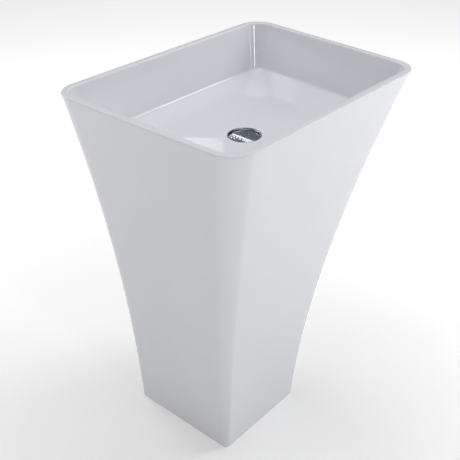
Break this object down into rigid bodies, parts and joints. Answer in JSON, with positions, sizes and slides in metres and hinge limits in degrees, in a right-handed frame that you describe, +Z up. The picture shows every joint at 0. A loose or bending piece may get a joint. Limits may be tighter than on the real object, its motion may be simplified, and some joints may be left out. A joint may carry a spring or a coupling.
{
  "type": "pedestal sink",
  "caption": "Freestanding pedestal basin in white stone resin, rectangular rim flaring up from a small foot, flat back, dished floor with a central push-push waste and bottle trap inside.",
  "frame": {"origin": "on the floor, under the centre of the rim's rectangle, which is also the axis of the waste", "axes": "+Z up, +X to the right seen from the front, -Y towards the user, +Y towards the wall"},
  "size_m": [0.595, 0.4497, 0.9],
  "materials": {
    "stone_resin": "polished",
    "adhesive": "gloss",
    "chrome": "polished",
    "brass": "satin",
    "rubber": "matte",
    "nylon": "satin",
    "spring_steel": "satin",
    "trap_plastic": "satin",
    "pipe_plastic": "satin",
    "bracket_steel": "satin",
    "fastener_steel": "satin"
  },
  "bodies": {
    "stand": {"basin_bowl": "stone_resin", "pedestal_shell": "stone_resin", "bond_bead": "adhesive", "floor_bracket_left": "bracket_steel", "floor_bracket_right": "bracket_steel", "bracket_insert": "brass", "bracket_washer": "fastener_steel", "bracket_screw": "fastener_steel", "waste_flange": "chrome", "flange_seal": "rubber", "latch_cartridge": "nylon", "cartridge_spring": "spring_steel", "under_washer": "rubber", "slip_ring": "nylon", "backnut": "brass", "inlet_nut": "trap_plastic", "inlet_seal": "rubber", "dip_tube": "pipe_plastic", "tube_nut": "trap_plastic", "tube_seal": "rubber", "trap_body": "trap_plastic", "outlet_nut": "trap_plastic", "outlet_seal": "rubber", "outlet_pipe": "pipe_plastic"},
    "drain_plug": {"plug_cap": "chrome", "cap_seal": "rubber", "plunger_stem": "nylon"},
    "cup_drop": {"trap_cup_seal": "rubber"},
    "trap_cup": {"trap_cup": "trap_plastic"}
  },
  "joints": [
    {"name": "plug_push", "type": "slide", "parent": "stand", "child": "drain_plug", "axis": [0, 0, 1], "range_m": [0, 0.009], "deforming": ["cartridge_spring"]},
    {"name": "cup_lower", "type": "slide", "parent": "stand", "child": "cup_drop", "axis": [0, 0, -1], "range_m": [0, 0.016]},
    {"name": "cup_turn", "type": "hinge", "parent": "cup_drop", "child": "trap_cup", "pos_m": [0, 0, 0.556], "axis": [0, 0, -1], "range_deg": [0, 1440]}
  ],
  "couplings": [
    {"joint": "cup_lower", "follows": "cup_turn", "m_per_rad": 0.000636}
  ]
}
